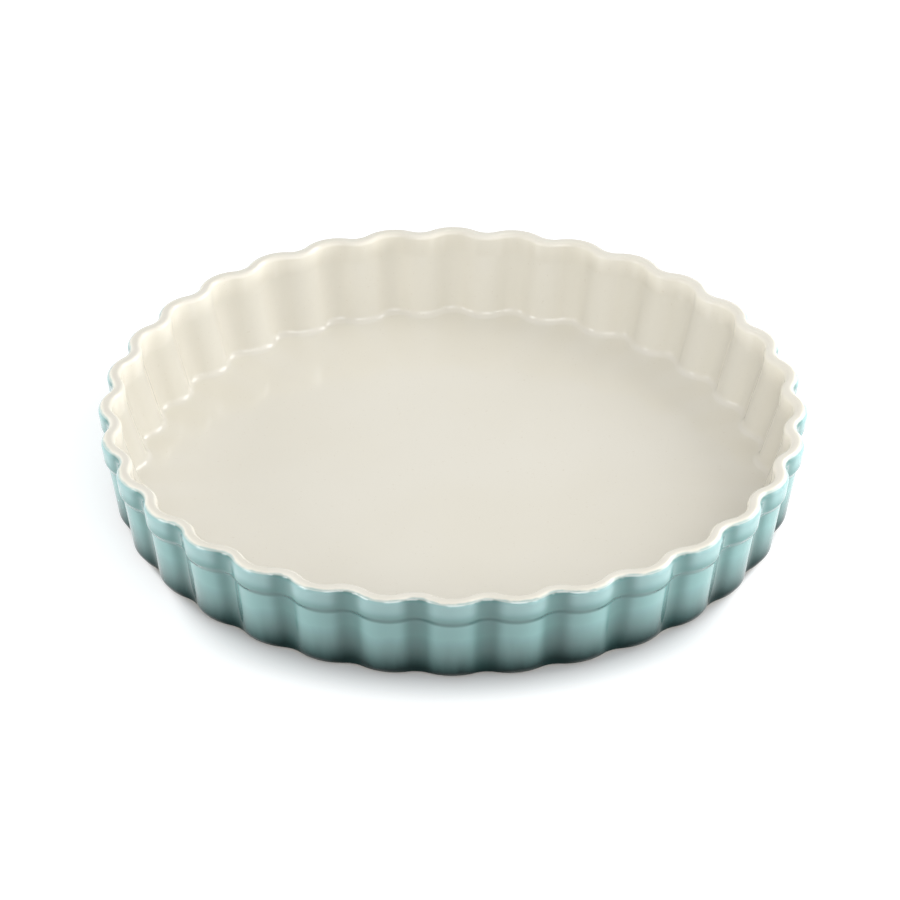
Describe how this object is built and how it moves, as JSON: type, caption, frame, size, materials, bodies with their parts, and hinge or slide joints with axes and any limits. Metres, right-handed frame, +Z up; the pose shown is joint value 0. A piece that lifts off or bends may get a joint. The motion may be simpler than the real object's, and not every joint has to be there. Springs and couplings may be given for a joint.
{
  "type": "fluted quiche dish",
  "caption": "Round shallow baking dish with a fluted wall, a stepped collar and a rounded lip, cream glaze inside and sea green glaze outside, on a flat foot ring.",
  "frame": {"origin": "centre of the dish on the table, at the underside of the foot ring", "axes": "+Z up out of the open dish; one outer crest of the flutes points to -Y and one to +X"},
  "size_m": [0.285, 0.285, 0.04],
  "materials": {
    "stoneware": "unglazed, dry and slightly sandy",
    "cream_glaze": "glossy cream glaze",
    "green_glaze": "glossy sea green glaze, paler on the collar and darker towards the base"
  },
  "bodies": {
    "root": {"stoneware_body": "stoneware", "inner_glaze": "cream_glaze", "outer_glaze": "green_glaze", "base_glaze": "green_glaze"}
  },
  "joints": []
}
